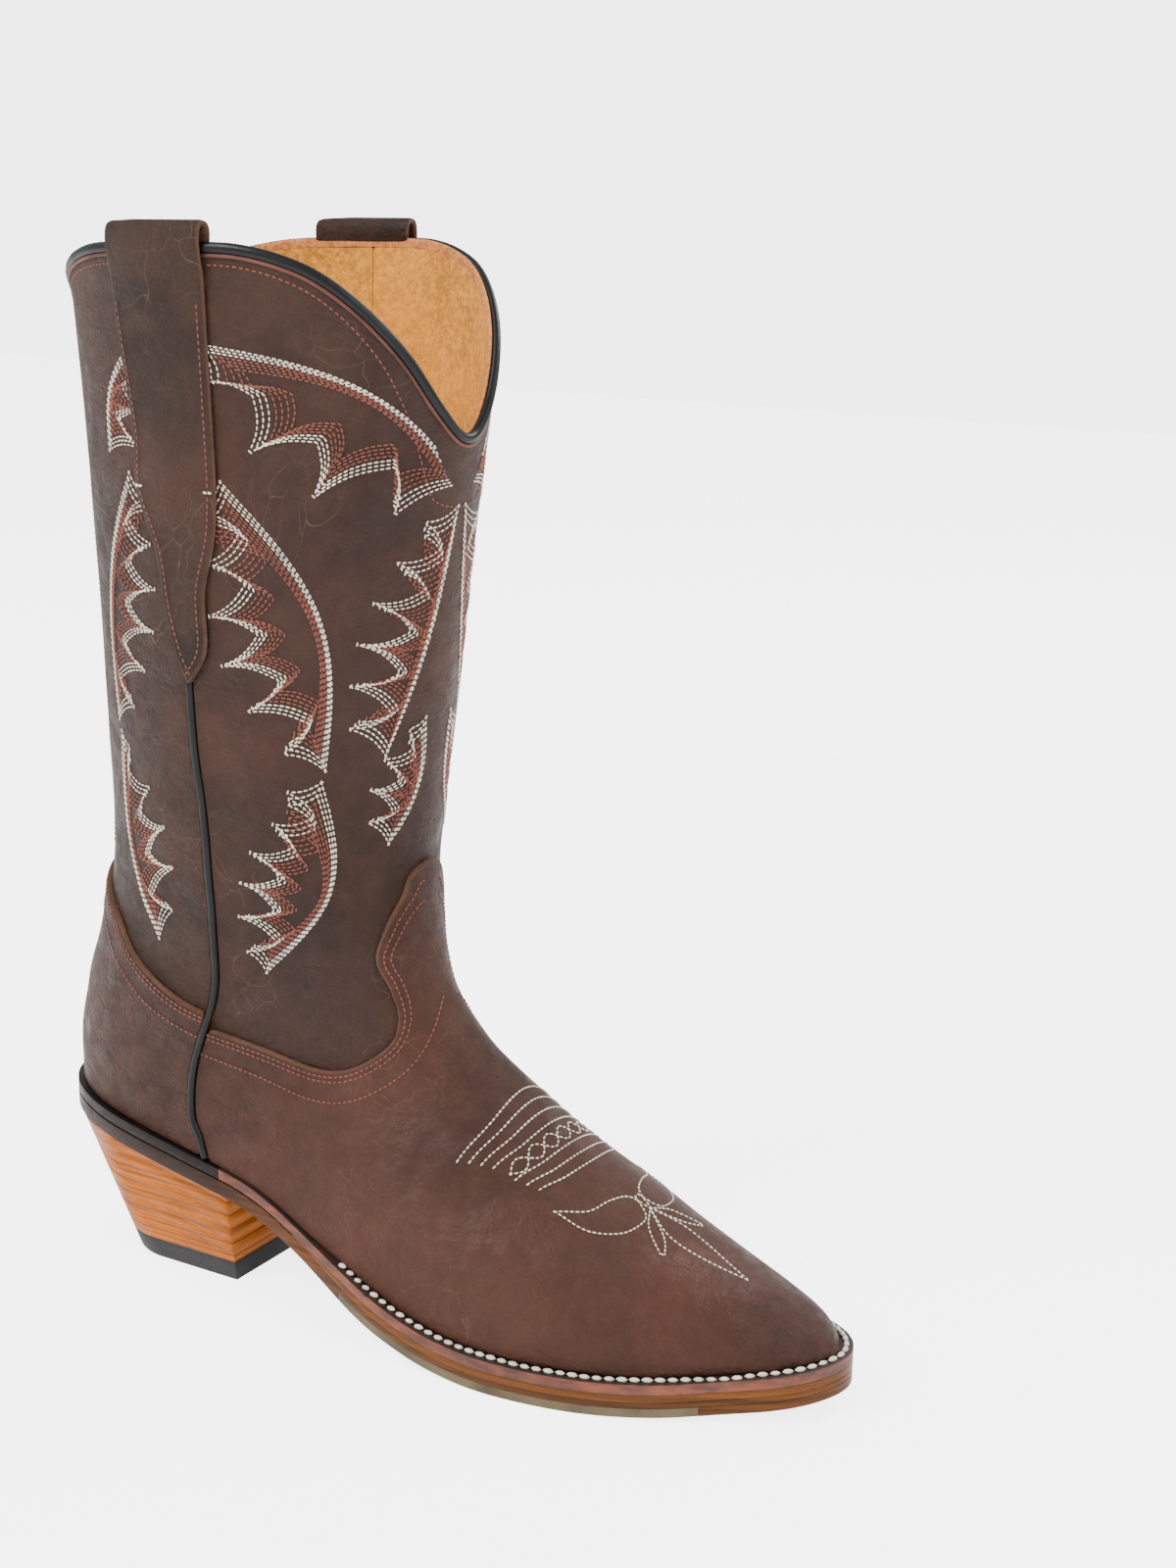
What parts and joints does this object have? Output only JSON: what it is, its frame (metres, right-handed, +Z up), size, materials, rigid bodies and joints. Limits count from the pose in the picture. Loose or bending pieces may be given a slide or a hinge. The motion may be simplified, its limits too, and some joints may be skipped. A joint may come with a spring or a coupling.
{
  "type": "western boot",
  "caption": "Right-foot pull-on western boot with a scalloped shaft, pull straps, leather welted sole, rubber forepart insert and stacked underslung heel.",
  "frame": {"origin": "on the heel cap's tread face, on the boot's centre line, 26 mm behind the heel breast", "axes": "+X towards the toe, +Y to the inner (medial) side of the foot, +Z up the shaft"},
  "size_m": [0.2975, 0.116, 0.3552],
  "materials": {
    "shaft_leather": "oiled pull-up leather, dark brown, fine grain with lighter rubbed creases",
    "foot_leather": "oiled pull-up leather, mid brown, fine grain",
    "strap_leather": "oiled pull-up leather with lighter cut edges",
    "piping": "smooth black-grey rolled piping",
    "lining": "tan suede lining, mottled nap",
    "stiffener": "resin-stiffened woven board",
    "backing": "plain cotton backing",
    "insole_leather": "vegetable-tanned insole leather",
    "welt_leather": "welt leather, dark top and red-brown trimmed edge",
    "midsole_leather": "thin tan midsole leather",
    "sole_leather": "orange-tan sole leather, burnished edge",
    "tread_rubber": "olive-brown rubber, slightly glossy edge",
    "heel_leather": "stacked caramel leather with fine darker lines",
    "cap_rubber": "black moulded rubber",
    "thread": "waxed cream thread",
    "cork": "ground cork filler",
    "steel": "sprung steel strip",
    "peg_wood": "pale hardwood pegs",
    "nail_brass": "brass nails"
  },
  "bodies": {
    "root": {"shaft_front": "shaft_leather", "shaft_back": "shaft_leather", "vamp": "foot_leather", "counter": "foot_leather", "pull_strap_outer": "strap_leather", "pull_strap_inner": "strap_leather", "side_piping_outer": "piping", "side_piping_inner": "piping", "top_piping": "piping", "shaft_lining_front": "lining", "shaft_lining_back": "lining", "vamp_lining": "lining", "counter_lining": "lining", "toe_puff": "stiffener", "heel_stiffener": "stiffener", "vamp_backing": "backing", "insole": "insole_leather", "heel_sock": "lining", "shank": "steel", "cork_filler": "cork", "welt": "welt_leather", "heel_rand": "welt_leather", "welt_thread": "thread", "midsole": "midsole_leather", "outsole": "sole_leather", "toe_piece": "sole_leather", "forepart_rubber": "tread_rubber", "heel_cap": "cap_rubber", "heel_nails": "nail_brass", "waist_pegs": "peg_wood", "heel_lift_1": "heel_leather", "heel_lift_2": "heel_leather", "heel_lift_3": "heel_leather", "heel_lift_4": "heel_leather", "heel_lift_5": "heel_leather", "heel_lift_6": "heel_leather"}
  },
  "joints": []
}
